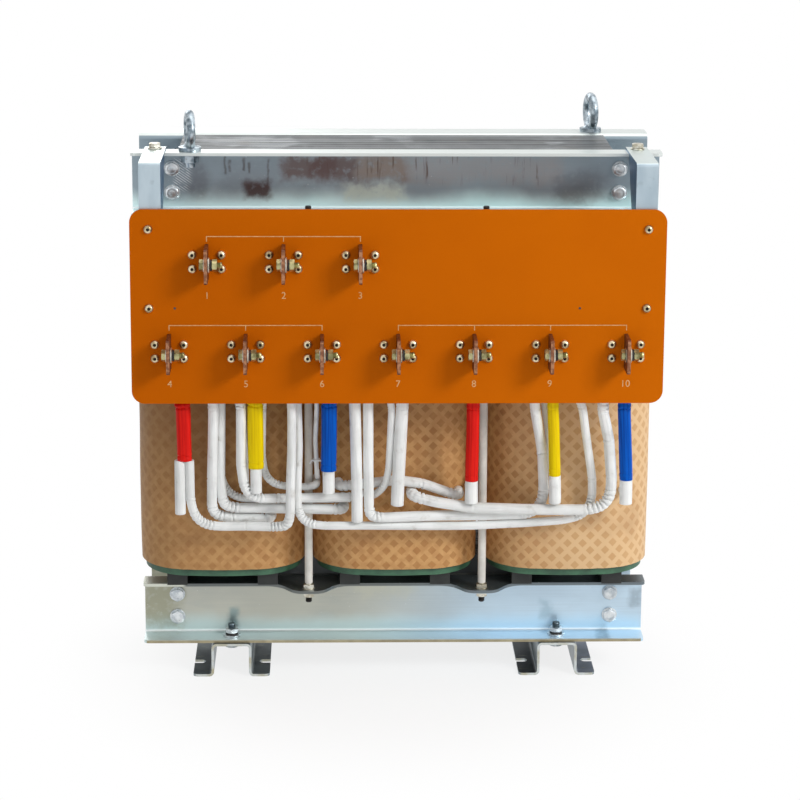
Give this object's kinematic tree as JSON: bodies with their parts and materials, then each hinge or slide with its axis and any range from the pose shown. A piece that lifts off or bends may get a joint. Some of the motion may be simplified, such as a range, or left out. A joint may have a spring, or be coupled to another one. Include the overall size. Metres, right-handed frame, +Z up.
{
  "type": "power transformer",
  "caption": "Open dry three-phase power transformer: laminated core, wrapped coils, folded clamp beams, feet, and an orange terminal board with copper bars and coloured leads.",
  "frame": {"origin": "on the floor, under the middle of the whole object's outline", "axes": "+X along the core towards the right coil, -Y towards the terminal side, +Z up"},
  "size_m": [0.824, 0.452, 0.9145],
  "materials": {
    "zinc_steel": "zinc plated sheet steel, dull blue-grey, stained and with brown rust streaks",
    "zinc_hardware": "zinc plated bolts, nuts and washers",
    "core_steel": "varnished edges of stacked core plates, grey with fine lines",
    "core_pad": "dark insulating pad",
    "strip_board": "dull green pressed insulating board",
    "winding_wrap": "diamond-dotted insulating paper, tan with brown diamonds",
    "inner_wrap": "insulating paper, plain tan and shaded",
    "duct_stick": "pale laminated sticks",
    "block": "pale laminated wood blocks",
    "board_orange": "orange insulating laminate, slightly uneven",
    "copper": "bare copper bar, dulled",
    "brass_hardware": "yellow plated bolts with bright washers",
    "lug": "tinned copper lugs",
    "white_sleeve": "smooth white insulating sleeving",
    "rod_sleeve": "grey-white insulating tube",
    "red_sleeve": "red shrunk tube, slightly glossy",
    "yellow_sleeve": "yellow shrunk tube, slightly glossy",
    "blue_sleeve": "blue shrunk tube, slightly glossy"
  },
  "bodies": {
    "root": {"foot_left": "zinc_steel", "foot_right": "zinc_steel", "core_pads": "core_pad", "limb_left": "core_steel", "limb_centre": "core_steel", "limb_right": "core_steel", "upper_yoke": "core_steel", "lower_yoke": "core_steel", "lower_beam_front": "zinc_steel", "lower_beam_back": "zinc_steel", "upper_beam_front": "zinc_steel", "upper_beam_back": "zinc_steel", "beam_insulation": "strip_board", "coil_left_inner": "inner_wrap", "coil_left_outer": "winding_wrap", "coil_centre_inner": "inner_wrap", "coil_centre_outer": "winding_wrap", "coil_right_inner": "inner_wrap", "coil_right_outer": "winding_wrap", "duct_sticks": "duct_stick", "bottom_boards": "strip_board", "top_boards": "strip_board", "support_blocks": "block", "clamp_bolts_lower": "zinc_hardware", "clamp_bolts_upper": "zinc_hardware", "tie_rods": "zinc_hardware", "tie_rod_sleeves": "rod_sleeve", "foot_bolts": "zinc_hardware", "lifting_eye_front": "zinc_hardware", "lifting_eye_back": "zinc_hardware", "panel_bracket_left": "zinc_steel", "panel_bracket_right": "zinc_steel", "bracket_bolts": "zinc_hardware", "terminal_board": "board_orange", "board_screws": "brass_hardware", "output_terminals": "copper", "input_terminals": "copper", "terminal_bolts": "brass_hardware", "cable_lugs": "lug", "leads_left": "white_sleeve", "leads_centre": "white_sleeve", "leads_long": "white_sleeve", "leads_right": "white_sleeve", "sleeves_red": "red_sleeve", "sleeves_yellow": "yellow_sleeve", "sleeves_blue": "blue_sleeve"}
  },
  "joints": []
}
